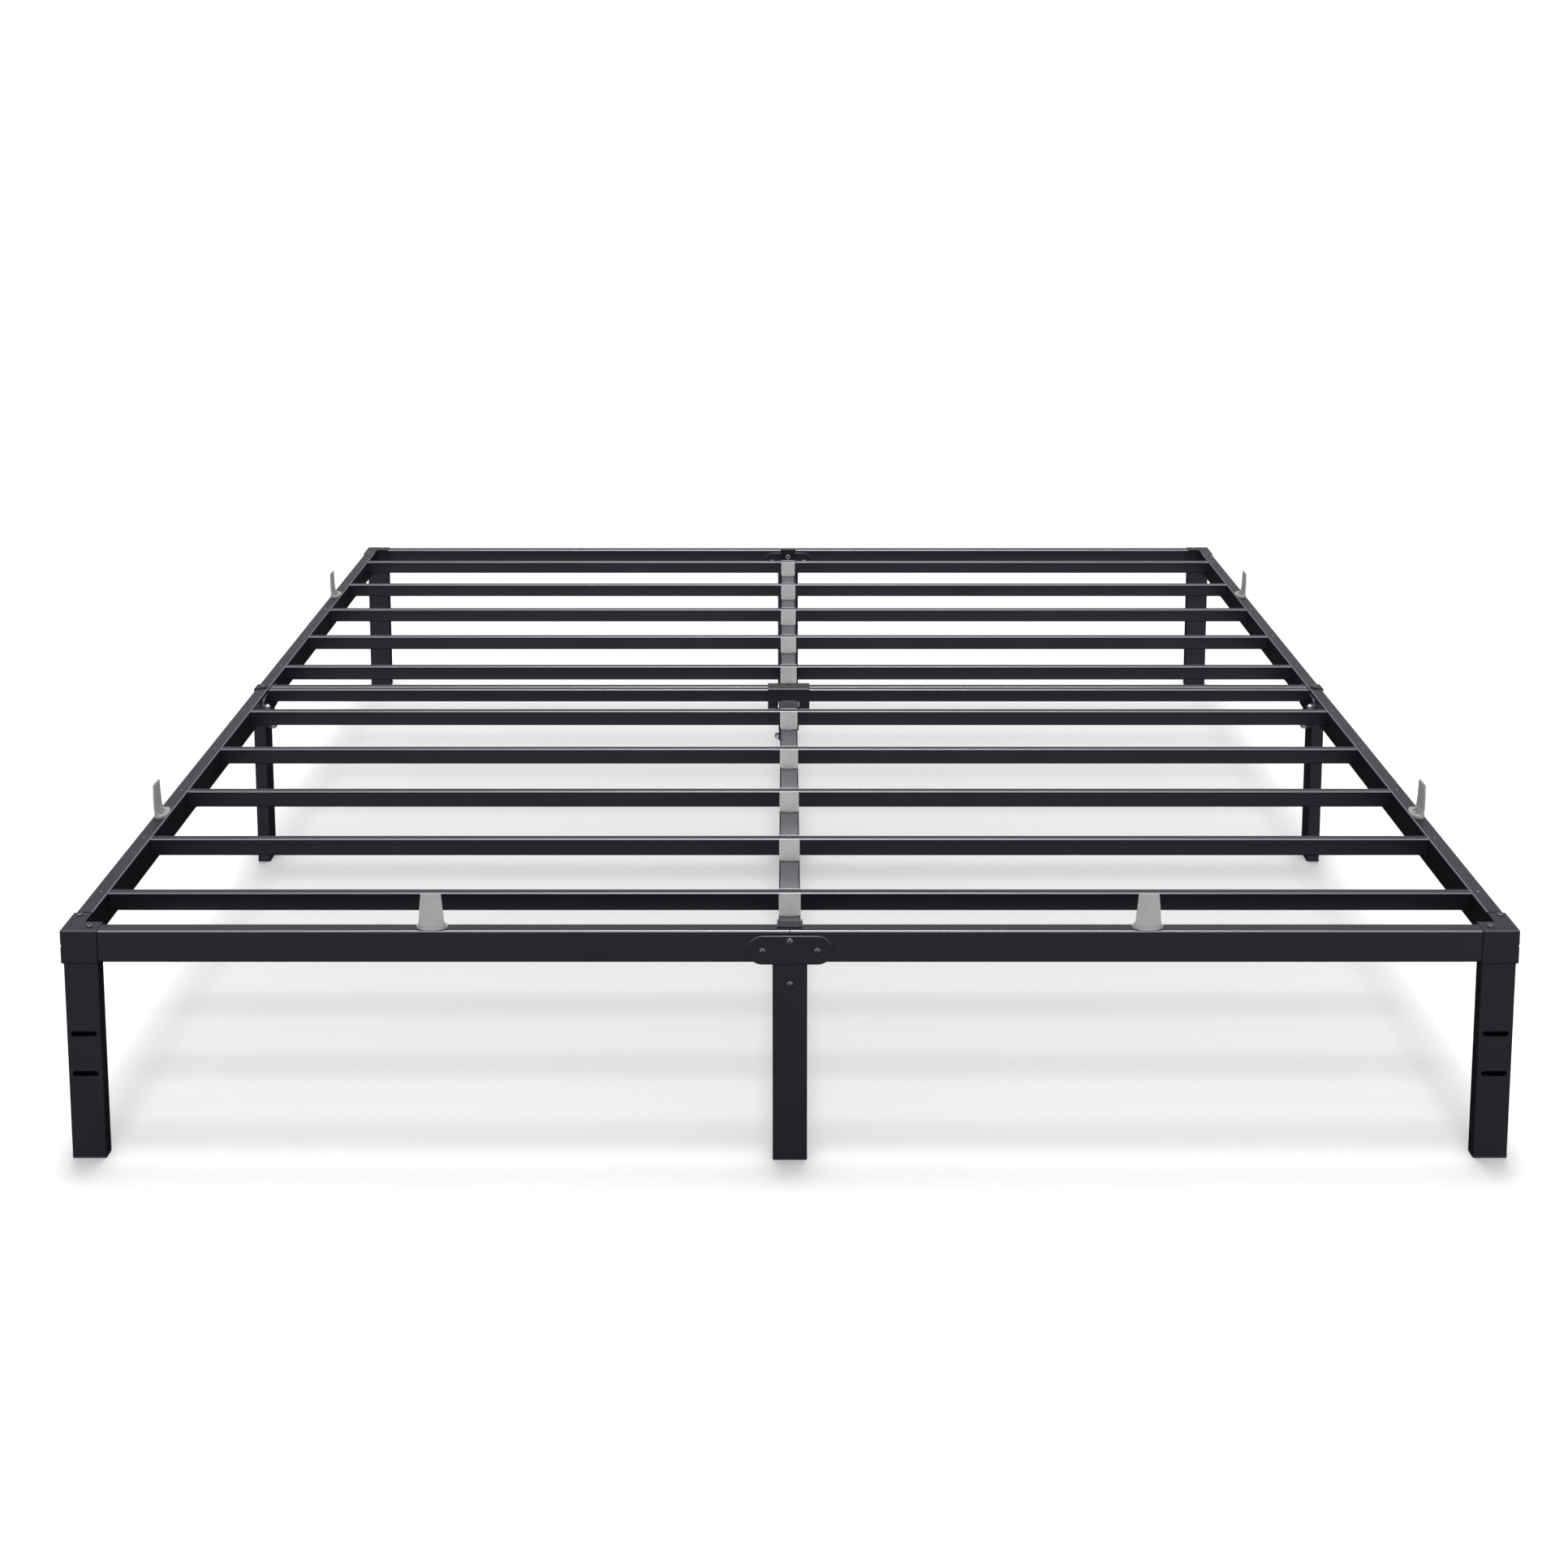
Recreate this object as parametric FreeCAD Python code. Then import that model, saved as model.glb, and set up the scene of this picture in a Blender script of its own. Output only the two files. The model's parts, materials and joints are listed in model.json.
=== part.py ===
import FreeCAD, Part

import math
import os

# Metal platform bed frame for a king mattress, as it is assembled from its carton.
#
# Frame: millimetres, +Z up, origin on the floor under the middle of the bed. The head end, whose corner
# legs have the slots for a headboard, faces -Y. Rails and legs are bolted together; half slats hook into
# the side rails and meet in plastic clips on the centre beam.

Vec = FreeCAD.Vector
X_AXIS, Y_AXIS, Z_AXIS = 0, 1, 2
ORIGIN = Vec(0, 0, 0)

# --- Driving dimensions -------------------------------------------------------------------------------
bed_width = 1930.0            # king mattress, 76 in
bed_length = 2032.0           # king mattress, 80 in
top_height = 321.0            # floor to the plane that the mattress lies on

rail_height = 44.0
rail_width = 22.0
rail_wall = 1.2
rail_corner_radius = 2.6
leg_wide = 46.0
leg_thin = 22.0
leg_wall = 1.2
plate = 2.8                   # bracket plates

slat_height = 25.4
slat_depth = 14.0
slat_wall = 1.0
slat_corner_radius = 2.2
slats_per_half = 5
slat_pitch = 190.5            # 7.5 in
first_slat = 127.0            # 5 in, from the middle of the bed to the nearest slat

seam_gap = 0.6                # half of the gap where two rails or two crossbars meet
corner_gap = 1.4              # from a rail's end to the corner bracket
fit_gap = 0.2                 # round a part that slides into another
bolt_radius = 3.0             # M6
bolt_hole_radius = 3.2
bolt_length = 36.0
beam_bolt_length = 42.0
screw_radius = 2.5            # M5
screw_hole_radius = 2.7
screw_length = 14.0

# --- Sizes of each kind of part -----------------------------------------------------------------------
half_width = bed_width / 2
half_length = bed_length / 2
side_rail_outer = half_width - plate
side_rail_inner = side_rail_outer - rail_width
side_rail_middle = (side_rail_outer + side_rail_inner) / 2
foot_rail_inset = 6.0         # the foot rail stands in from the corner brackets; the head rail is flush
head_rail_y = -(half_length - rail_width / 2)
foot_rail_y = half_length - foot_rail_inset - rail_width / 2
rail_bottom = top_height - rail_height
rail_middle_height = top_height - rail_height / 2

corner_height = 46.0
corner_bottom = top_height - corner_height
corner_wall = 2.0
corner_end_arm = plate + leg_wide             # along the head or foot rail
corner_side_arm = 58.0                        # along the side rail
corner_depth = 28.0                           # of the end arm, along Y
corner_edge_radius = 2.0                      # its outer upright edges
corner_rim_radius = 1.6                       # its outer level edges
corner_groove_drop = 21.0                     # of the V-shaped groove along its outer side
corner_groove_width = 4.4
corner_groove_depth = 2.0
end_arm_screw = (34.8, 15.0)                  # in from the bracket's outer side and end faces
side_arm_screw = (10.2, 50.0)

plug_wall = 2.0
plug_in_rail = 30.0
plug_in_corner = 24.0
plug_shoulder = 1.0                           # the plug is this much slimmer, all round, past the rail

foot_flange = 2.5
foot_plug_height = 12.0
foot_plug_wall = 1.6
corner_leg_x = half_width - plate - leg_wide / 2
corner_leg_y = half_length - corner_wall - leg_thin / 2
slot_length = 34.6
slot_width = 7.6
slot_heights = (120.0, 176.0)

channel_floor = 2.0                           # of a bracket, under the rail that it grips
channel_clear = 4.0                           # a bracket's plates are this much lower than the rail
bracket_length = 113.0
bracket_bolt_offset = 36.2
hook_bolt_height = 308.0
leg_bolt_drop = 26.0
tongue_drop = 30.0                            # the inner plate reaches this far down behind the leg
tongue_corner_radius = 9.0
stub_length = 55.0
stub_wall = 2.0
inner_tube_radius = 1.0                       # outer corners of the stubs and of the foot caps' plugs
plate_rim_radius = 1.0                        # round the outer face of each plate
strap_half_width = 12.0
strap_thickness = 1.5
strap_reach = 22.0                            # over the side rail, from the bracket's outer face
strap_fold_radius = 2.0
rail_bracket_leg_y = leg_thin / 2 - rail_width / 2 - plate

beam_width = 30.0
beam_height = 30.0
beam_wall = 1.4
beam_top = 288.0
beam_bottom = beam_top - beam_height
hook_thickness = 2.0
hook_flange = 15.0
hook_foot = 4.0                               # the hook ends this far above the beam's underside
hook_lip = 13.0                               # over the top of the head or foot rail
hook_lip_thickness = 1.5
end_plate_thickness = 1.8
end_plate_top = 302.0
end_plate_radius = 4.0

crossbar_height = 22.5
crossbar_depth = slat_depth
crossbar_offset = 8.0                         # from the middle of the bed to a bar's centre line
connector_half_width = 37.5
connector_thickness = 2.0
connector_bottom = 286.0
connector_hole_radius = 3.0
arch_half_width = 18.5
arch_top = 303.0
arch_radius = 6.0

tongue_depth = slat_depth - 2 * slat_wall     # the end tongue fills its tube from wall to wall
slat_tongue_height = 20.0
crossbar_tongue_height = 16.0
tongue_in_tube = 20.0
slat_tongue_reach = 14.0                      # past the side rail's inner face
crossbar_tongue_reach = 5.0
lock_hole_radius = 2.8
lock_pin_radius = 2.3                         # of the pin on a slat's tongue, up through that hole
lock_pin_rise = 0.5                           # above the rail
lock_pin_rounding = 1.4
lock_pin_root = 1.0                           # into the tongue

clip_half_width = 15.0
clip_wall = 2.2
clip_gap = 0.1
clip_floor_inset = 1.0                        # the block under the slats stands in this far at its ends
clip_partition = 1.2
clip_partition_height = 12.0                  # it parts only the lower half of the slats' ends
clip_bulge = 0.7                              # of the walls' outer faces
clip_smile = 0.8                              # how far the walls' lower edge curves up
clip_corner_radius = 4.0                      # of the walls' lower corners
clip_lift = 0.2                               # from the beam to the bottom of the walls
clip_peg_radius = 3.8
clip_peg_hole_radius = 4.0
clip_peg_length = 9.0

retainer_height = 50.0
retainer_pad = 3.6                            # thickness of the pad that lies on the rail
retainer_pad_half_length = 21.0
retainer_pad_half_depth = 10.5
retainer_rib_thickness = 1.4
retainer_rib_height = 7.0
retainer_rib_x = 5.0
retainer_x = 474.0                            # from the middle of the bed, on the head and foot rails
retainer_y = 608.0                            # from the middle of the bed, on the side rails
retainer_peg_radius = 3.4
retainer_hole_radius = 3.6
retainer_peg_length = 10.0

screw_head_radius = 4.5
screw_head_height = 2.2
bolt_head_radius = 4.9
bolt_head_height = 3.4
nut_across_flats = 10.0
nut_height = 5.0


# --- Shapes -------------------------------------------------------------------------------------------
def box(corner_a, corner_b):
    """A box between two opposite corners, given in any order."""
    low = [min(a, b) for a, b in zip(corner_a, corner_b)]
    size = [abs(a - b) for a, b in zip(corner_a, corner_b)]
    return Part.makeBox(size[0], size[1], size[2], Vec(*low))


def edges_along(shape, axis):
    """The straight edges of a shape that run along one axis."""
    straight = [edge for edge in shape.Edges if isinstance(edge.Curve, Part.Line)]
    return [edge for edge in straight if abs(edge.tangentAt(edge.FirstParameter)[axis]) > 0.99]


def edges_in_plane(shape, axis, value):
    """The edges of a shape that lie in the plane where one coordinate has a value."""
    return [edge for edge in shape.Edges
            if all(abs(tuple(edge.valueAt(t))[axis] - value) < 0.01
                   for t in (edge.FirstParameter, (edge.FirstParameter + edge.LastParameter) / 2,
                             edge.LastParameter))]


def rounded_bar(corner_a, corner_b, axis, radius):
    """A box whose four edges along the axis are rounded."""
    bar = box(corner_a, corner_b)
    return bar.makeFillet(radius, edges_along(bar, axis))


def tube(corner_a, corner_b, axis, wall, radius):
    """A rectangular tube that is open at both ends along the axis."""
    low = [min(a, b) for a, b in zip(corner_a, corner_b)]
    high = [max(a, b) for a, b in zip(corner_a, corner_b)]
    hollow_low = [value + wall for value in low]
    hollow_high = [value - wall for value in high]
    hollow_low[axis] = low[axis] - wall
    hollow_high[axis] = high[axis] + wall
    return rounded_bar(low, high, axis, radius).cut(box(hollow_low, hollow_high))


def rod(start, direction, radius, length):
    """A cylinder that runs from a start point along a direction."""
    return Part.makeCylinder(radius, length, Vec(*start), Vec(*direction))


def hole_through(point, direction, radius, reach):
    """A cutting cylinder that reaches equally far to both sides of a point."""
    return rod(Vec(*point) - Vec(*direction) * reach, direction, radius, 2 * reach)


def prism(points, sweep):
    """The solid that a flat closed outline of points sweeps along a vector."""
    corners = [Vec(*point) for point in points]
    return Part.Face(Part.makePolygon(corners + corners[:1])).extrude(Vec(*sweep))


def hexagon(start, direction, across_flats, length):
    """A hexagonal bar that runs from a start point along a direction."""
    bar = Part.makeCylinder(across_flats, length)
    wide = 2 * across_flats
    for turn in range(6):
        side = box((across_flats / 2, -wide, -wide), (wide, wide, length + wide))
        side.rotate(ORIGIN, Vec(0, 0, 1), 60.0 * turn)
        bar = bar.cut(side)
    bar.Placement = FreeCAD.Placement(Vec(*start), FreeCAD.Rotation(Vec(0, 0, 1), Vec(*direction)))
    return bar


def button_screw(face_point, outward, radius, length, head_radius, head_height):
    """A button-head screw: the head sits on a face, the shank runs inward, a hex key turns it."""
    along = Vec(*outward)
    head = rod(face_point, outward, head_radius, head_height)
    rim = [edge for edge in head.Edges if isinstance(edge.Curve, Part.Circle)
           and (edge.Curve.Center - Vec(*face_point)).dot(along) > head_height / 2]
    head = head.makeFillet(head_height * 0.75, rim)
    socket_depth = head_height * 0.55
    head = head.cut(hexagon(Vec(*face_point) + along * (head_height - socket_depth), outward,
                            head_radius * 0.75, head_height))
    return head.fuse(rod(face_point, along * -1, radius, length)).removeSplitter()


def lock_nut(face_point, direction):
    """A hex nut that stands on a face and is threaded on along a direction."""
    nut = hexagon(face_point, direction, nut_across_flats, nut_height)
    return nut.cut(hole_through(face_point, direction, bolt_hole_radius, 2 * nut_height))


def placed(shape, turn, x, y):
    """A copy of a shape, turned about the vertical axis and moved in plan."""
    copy = shape.copy()
    copy.rotate(ORIGIN, Vec(0, 0, 1), turn)
    copy.translate(Vec(x, y, 0))
    return copy


def mirrored(shape, flip_x, flip_y):
    """A copy of a shape, mirrored to the bed's left side or to its head end where asked."""
    copy = shape.copy()
    if flip_x:
        copy = copy.mirror(ORIGIN, Vec(1, 0, 0))
    if flip_y:
        copy = copy.mirror(ORIGIN, Vec(0, 1, 0))
    return copy


def save(name, solids):
    """Writes one node: a single solid, or a group of separate solids."""
    shape = solids[0] if len(solids) == 1 else Part.makeCompound(solids)
    shape.exportStep("parts/" + name + ".step")


# --- Where things stand -------------------------------------------------------------------------------
SIDES = (("left", True), ("right", False))    # name, and whether it is the mirror of the modelled side
ENDS = (("head", True), ("foot", False))

# Each rail bracket is modelled with its outer face towards -Y and its rail along X, then turned and moved.
RAIL_BRACKETS = {
    "head": (0.0, 0.0, head_rail_y),
    "foot": (180.0, 0.0, foot_rail_y),
    "left": (-90.0, -side_rail_middle, 0.0),
    "right": (90.0, side_rail_middle, 0.0),
}


def slat_positions():
    """The y of each slat's centre line, from the head end to the foot end."""
    offsets = [first_slat + slat_pitch * step for step in range(slats_per_half)]
    return [-offset for offset in reversed(offsets)] + offsets


# --- Corner brackets and corner legs ------------------------------------------------------------------
def corner_outline(side_wall, end_wall, inner_wall, past_ends, height):
    """The L-shaped plan of the +x +y corner bracket, drawn in by its wall thicknesses."""
    outer_x = half_width - side_wall
    outer_y = half_length - end_wall
    inner_x = side_rail_inner + inner_wall
    inner_y = half_length - corner_depth + inner_wall
    end_x = half_width - corner_end_arm - past_ends
    end_y = half_length - corner_side_arm - past_ends
    return [(end_x, inner_y, height), (inner_x, inner_y, height), (inner_x, end_y, height),
            (outer_x, end_y, height), (outer_x, outer_y, height), (end_x, outer_y, height)]


def corner_screw_places():
    """The plan places of the two screws on the +x +y corner bracket."""
    return [(half_width - side, half_length - end) for side, end in (end_arm_screw, side_arm_screw)]


def corner_groove():
    """A cutting wedge that runs along the outer side of the +x +y corner bracket."""
    start = half_length - 2 * corner_side_arm
    height = top_height - corner_groove_drop
    outline = [(half_width - corner_groove_depth, start, height),
               (half_width + corner_groove_depth, start, height + corner_groove_width),
               (half_width + corner_groove_depth, start, height - corner_groove_width)]
    return prism(outline, (0, 3 * corner_side_arm, 0))


def corner_bracket():
    """The hollow corner box at +x +y: the rails' plugs enter its two arms, the leg is welded below."""
    shell = prism(corner_outline(0, 0, 0, 0, corner_bottom), (0, 0, corner_height))
    outer_corners = [edge for edge in edges_along(shell, Z_AXIS) if edge.Vertexes[0].X > half_width - 1]
    shell = shell.makeFillet(corner_edge_radius, outer_corners)
    rims = [edge for height in (corner_bottom, top_height) for edge in edges_in_plane(shell, Z_AXIS, height)
            if edge.CenterOfMass.x > half_width - 1 or edge.CenterOfMass.y > half_length - 1]
    shell = shell.makeFillet(corner_rim_radius, rims)
    cavity = prism(corner_outline(plate, corner_wall, corner_wall, corner_wall, corner_bottom + corner_wall),
                   (0, 0, corner_height - 2 * corner_wall))
    bracket = shell.cut(cavity)
    bracket = bracket.cut(corner_groove())
    for x, y in corner_screw_places():
        bracket = bracket.cut(hole_through((x, y, top_height), (0, 0, 1), screw_hole_radius, 2 * corner_wall))
    return bracket


def corner_leg(has_slots):
    """The corner leg at +x +y, with headboard slots through both wide walls where asked."""
    leg = tube((corner_leg_x - leg_wide / 2, corner_leg_y - leg_thin / 2, foot_flange),
               (corner_leg_x + leg_wide / 2, corner_leg_y + leg_thin / 2, corner_bottom),
               Z_AXIS, leg_wall, rail_corner_radius)
    if has_slots:
        for height in slot_heights:
            leg = leg.cut(headboard_slot(height))
    return leg


def headboard_slot(height):
    """A cutting bar with round ends, level, right through the corner leg at +x +y."""
    reach = (slot_length - slot_width) / 2
    slot = box((corner_leg_x - reach, corner_leg_y - leg_thin, height - slot_width / 2),
               (corner_leg_x + reach, corner_leg_y + leg_thin, height + slot_width / 2))
    for side in (-1, 1):
        slot = slot.fuse(hole_through((corner_leg_x + side * reach, corner_leg_y, height), (0, 1, 0),
                                      slot_width / 2, leg_thin))
    return slot.removeSplitter()


def write_corners():
    bracket = corner_bracket()
    for end, flip_y in ENDS:
        leg = corner_leg(has_slots=(end == "head"))
        for side, flip_x in SIDES:
            save("corner_bracket_" + end + "_" + side, [mirrored(bracket, flip_x, flip_y)])
            save("corner_leg_" + end + "_" + side, [mirrored(leg, flip_x, flip_y)])


# --- Brackets in mid-rail, and the legs on their stubs ------------------------------------------------
def stadium_plate(y_near, y_far, z_low, z_high):
    """An upright plate with half-round ends, its face across Y; the rim of its far face is rounded."""
    radius = (z_high - z_low) / 2
    straight = bracket_length / 2 - radius
    solid = box((-straight, y_near, z_low), (straight, y_far, z_high))
    for side in (-1, 1):
        solid = solid.fuse(rod((side * straight, min(y_near, y_far), z_low + radius), (0, 1, 0),
                               radius, abs(y_far - y_near)))
    solid = solid.removeSplitter()
    return solid.makeFillet(plate_rim_radius, edges_in_plane(solid, Y_AXIS, y_far))


def leg_tongue(y_near, y_far, z_top):
    """The inner plate's lower end, behind the leg; its lower corners are rounded."""
    tongue = box((-leg_wide / 2, y_near, z_top - tongue_drop), (leg_wide / 2, y_far, z_top))
    corners = [edge for edge in edges_along(tongue, Y_AXIS) if edge.Vertexes[0].Z < z_top - 1]
    return tongue.makeFillet(tongue_corner_radius, corners)


def plates_middle(grip_height, grip_bottom):
    """The height of the middle of a bracket's plates, where its bolts cross what it grips."""
    return grip_bottom - channel_floor + (grip_height - channel_clear) / 2


def channel_bracket(grip_width, grip_height, grip_bottom, leg_y):
    """Two plates either side of a rail or beam, the floor between them, and a stub inside the leg."""
    inner = grip_width / 2
    outer = inner + plate
    low = grip_bottom - channel_floor
    high = low + grip_height - channel_clear
    stub_x = leg_wide / 2 - leg_wall - fit_gap
    stub_y = leg_thin / 2 - leg_wall - fit_gap
    bracket = stadium_plate(-inner, -outer, low, high)
    bracket = bracket.fuse(stadium_plate(inner, outer, low, high))
    bracket = bracket.fuse(box((-leg_wide / 2, -inner, low), (leg_wide / 2, inner, grip_bottom)))
    bracket = bracket.fuse(leg_tongue(leg_y + leg_thin / 2, outer, low))
    bracket = bracket.fuse(tube((-stub_x, leg_y - stub_y, low - stub_length), (stub_x, leg_y + stub_y, low),
                                Z_AXIS, stub_wall, inner_tube_radius))
    bracket = bracket.removeSplitter()
    for side in (-1, 1):
        bolt_point = (side * bracket_bolt_offset, 0, plates_middle(grip_height, grip_bottom))
        bracket = bracket.cut(hole_through(bolt_point, (0, 1, 0), bolt_hole_radius, 2 * outer))
    return bracket.cut(hole_through((0, 0, low - leg_bolt_drop), (0, 1, 0), bolt_hole_radius, 2 * outer))


def seam_strap():
    """The strap of a side bracket: it folds from the outer plate over the seam of the two side rails."""
    outer = rail_width / 2 + plate
    strap_top = top_height + strap_thickness
    round_middle = strap_reach - outer - strap_half_width
    strap = box((-strap_half_width, -outer, rail_middle_height),
                (strap_half_width, -rail_width / 2, strap_top))
    strap = strap.fuse(box((-strap_half_width, -outer, top_height),
                           (strap_half_width, round_middle, strap_top)))
    strap = strap.fuse(rod((0, round_middle, top_height), (0, 0, 1), strap_half_width, strap_thickness))
    strap = strap.common(box((-bed_width, -outer, 0), (bed_width, bed_width, bed_width))).removeSplitter()
    fold = [edge for edge in edges_along(strap, X_AXIS)
            if abs(edge.Vertexes[0].Z - strap_top) < 0.1 and abs(edge.Vertexes[0].Y + outer) < 0.1]
    return strap.makeFillet(strap_fold_radius, fold)


def crossbar_notch():
    """The notch in a side bracket's inner plate that lets the two crossbars' tongues through."""
    reach = crossbar_offset + tongue_depth / 2 + fit_gap
    low = top_height - (crossbar_height + crossbar_tongue_height) / 2 - fit_gap
    return box((-reach, 0, low), (reach, rail_width, top_height))


def rail_bracket(place):
    """A rail bracket in its own frame: a strap crosses the side ones, a beam hooks behind the end ones."""
    bracket = channel_bracket(rail_width, rail_height, rail_bottom, rail_bracket_leg_y)
    if place in ("left", "right"):
        bracket = bracket.fuse(seam_strap()).removeSplitter()
        bracket = bracket.cut(hole_through((0, 0, top_height), (0, 0, 1), screw_hole_radius, rail_width / 2))
        return bracket.cut(crossbar_notch())
    return bracket.cut(hole_through((0, 0, hook_bolt_height), (0, 1, 0), bolt_hole_radius, rail_width))


def stub_leg(leg_y, top):
    """A leg that slides up over a bracket's stub, in the bracket's own frame."""
    leg = tube((-leg_wide / 2, leg_y - leg_thin / 2, foot_flange), (leg_wide / 2, leg_y + leg_thin / 2, top),
               Z_AXIS, leg_wall, rail_corner_radius)
    return leg.cut(hole_through((0, leg_y, top - leg_bolt_drop), (0, 1, 0), bolt_hole_radius, leg_thin))


def write_mid_supports():
    for place, where in RAIL_BRACKETS.items():
        save("rail_bracket_" + place, [placed(rail_bracket(place), *where)])
        save("mid_leg_" + place, [placed(stub_leg(rail_bracket_leg_y, rail_bottom - channel_floor), *where)])
    joint = channel_bracket(beam_width, beam_height, beam_bottom, 0.0)
    save("beam_joint_bracket", [placed(joint, 90.0, 0.0, 0.0)])
    save("center_leg", [placed(stub_leg(0.0, beam_bottom - channel_floor), 90.0, 0.0, 0.0)])


# --- Rails --------------------------------------------------------------------------------------------
def bar_in_rail(axis, near, far, across_middle, thinner):
    """A solid bar on a rail's centre line, all round this much thinner than the rail."""
    across = Y_AXIS if axis == X_AXIS else X_AXIS
    half_across = rail_width / 2 - thinner
    corner_a = [0.0, 0.0, rail_bottom + thinner]
    corner_b = [0.0, 0.0, top_height - thinner]
    corner_a[axis] = near
    corner_b[axis] = far
    corner_a[across] = across_middle - half_across
    corner_b[across] = across_middle + half_across
    return box(corner_a, corner_b)


def rail_plug(rail_end, axis, across_middle):
    """The hollow plug welded into a rail's far end; past the rail it is slimmer, to enter a corner box."""
    in_rail = rail_end - plug_in_rail
    in_corner = rail_end + plug_in_corner + corner_gap
    slimmer = rail_wall + plug_shoulder
    plug = bar_in_rail(axis, in_rail, rail_end, across_middle, rail_wall)
    plug = plug.fuse(bar_in_rail(axis, rail_end, in_corner, across_middle, slimmer))
    return plug.cut(bar_in_rail(axis, in_rail - plug_wall, in_corner + plug_wall, across_middle,
                                slimmer + plug_wall))


def top_hole(x, y, radius):
    """A cutting cylinder through the top wall of a rail or beam."""
    return hole_through((x, y, top_height), (0, 0, 1), radius, 2 * plate)


def end_rail(y_middle):
    """The right half of the head or foot rail, from the middle seam to the corner bracket."""
    half = rail_width / 2
    rail_end = half_width - corner_end_arm - corner_gap
    outward = 1 if y_middle > 0 else -1
    rail = tube((seam_gap, y_middle - half, rail_bottom), (rail_end, y_middle + half, top_height),
                X_AXIS, rail_wall, rail_corner_radius)
    rail = rail.fuse(rail_plug(rail_end, X_AXIS, y_middle)).removeSplitter()
    rail = rail.cut(top_hole(half_width - end_arm_screw[0], outward * (half_length - end_arm_screw[1]),
                             screw_hole_radius))
    rail = rail.cut(top_hole(retainer_x, y_middle, retainer_hole_radius))
    bracket_bolt = (bracket_bolt_offset, y_middle, plates_middle(rail_height, rail_bottom))
    rail = rail.cut(hole_through(bracket_bolt, (0, 1, 0), bolt_hole_radius, rail_width))
    return rail.cut(hole_through((0, y_middle, hook_bolt_height), (0, 1, 0), bolt_hole_radius, rail_width))


def tongue_slot(y, bar_height, tongue_height):
    """The slot in the right side rail's inner wall for the end tongue of a slat or crossbar."""
    middle = top_height - bar_height / 2
    reach_y = tongue_depth / 2 + fit_gap
    reach_z = tongue_height / 2 + fit_gap
    return box((side_rail_inner - rail_wall, y - reach_y, middle - reach_z),
               (side_rail_inner + 2 * rail_wall, y + reach_y, middle + reach_z))


def side_rail():
    """The foot half of the right side rail, from the middle seam to the corner bracket."""
    rail_end = half_length - corner_side_arm - corner_gap
    rail = tube((side_rail_inner, seam_gap, rail_bottom), (side_rail_outer, rail_end, top_height),
                Y_AXIS, rail_wall, rail_corner_radius)
    rail = rail.fuse(rail_plug(rail_end, Y_AXIS, side_rail_middle)).removeSplitter()
    rail = rail.cut(top_hole(half_width - side_arm_screw[0], half_length - side_arm_screw[1],
                             screw_hole_radius))
    rail = rail.cut(top_hole(side_rail_middle, retainer_y, retainer_hole_radius))
    rail = rail.cut(top_hole(side_rail_middle, 0, screw_hole_radius))
    bracket_bolt = (side_rail_middle, bracket_bolt_offset, plates_middle(rail_height, rail_bottom))
    rail = rail.cut(hole_through(bracket_bolt, (1, 0, 0), bolt_hole_radius, rail_width))
    rail = rail.cut(tongue_slot(crossbar_offset, crossbar_height, crossbar_tongue_height))
    for y in slat_positions():
        if y > 0:
            rail = rail.cut(tongue_slot(y, slat_height, slat_tongue_height))
            rail = rail.cut(top_hole(side_rail_middle, y, lock_hole_radius))
    return rail


def write_rails():
    side = side_rail()
    for end, flip_y in ENDS:
        across = end_rail(head_rail_y if flip_y else foot_rail_y)
        for name, flip_x in SIDES:
            save(end + "_rail_" + name, [mirrored(across, flip_x, False)])
            save("side_rail_" + name + "_" + end, [mirrored(side, flip_x, flip_y)])


# --- Slats and crossbars ------------------------------------------------------------------------------
def half_bar(start, end, y, height, tongue_height, tongue_end):
    """A right-hand slat or crossbar half: a tube under the mattress plane with a welded end tongue."""
    bar = tube((start, y - slat_depth / 2, top_height - height), (end, y + slat_depth / 2, top_height),
               X_AXIS, slat_wall, slat_corner_radius)
    middle = top_height - height / 2
    tongue = box((end - tongue_in_tube, y - tongue_depth / 2, middle - tongue_height / 2),
                 (tongue_end, y + tongue_depth / 2, middle + tongue_height / 2))
    return bar.fuse(tongue).removeSplitter()


def lock_pin(y):
    """The round-ended pin on a right-hand slat's tongue, in the hole in the side rail's top wall."""
    foot = top_height - (slat_height - slat_tongue_height) / 2 - lock_pin_root
    pin = rod((side_rail_middle, y, foot), (0, 0, 1), lock_pin_radius, top_height + lock_pin_rise - foot)
    return pin.makeFillet(lock_pin_rounding, edges_in_plane(pin, Z_AXIS, top_height + lock_pin_rise))


def write_slats():
    start = clip_partition / 2 + clip_gap
    end = side_rail_inner - clip_gap
    for number, y in enumerate(slat_positions(), start=1):
        slat = half_bar(start, end, y, slat_height, slat_tongue_height, side_rail_inner + slat_tongue_reach)
        slat = slat.fuse(lock_pin(y)).removeSplitter()
        for name, flip_x in SIDES:
            save("slat_{:02d}_{}".format(number, name), [mirrored(slat, flip_x, False)])


def write_crossbars():
    end = side_rail_inner - plate - clip_gap
    bar = half_bar(seam_gap, end, crossbar_offset, crossbar_height, crossbar_tongue_height,
                   side_rail_inner + crossbar_tongue_reach)
    for name, flip_y in ENDS:
        save("crossbar_" + name, [mirrored(bar, flip_x, flip_y) for _, flip_x in SIDES])


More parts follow.
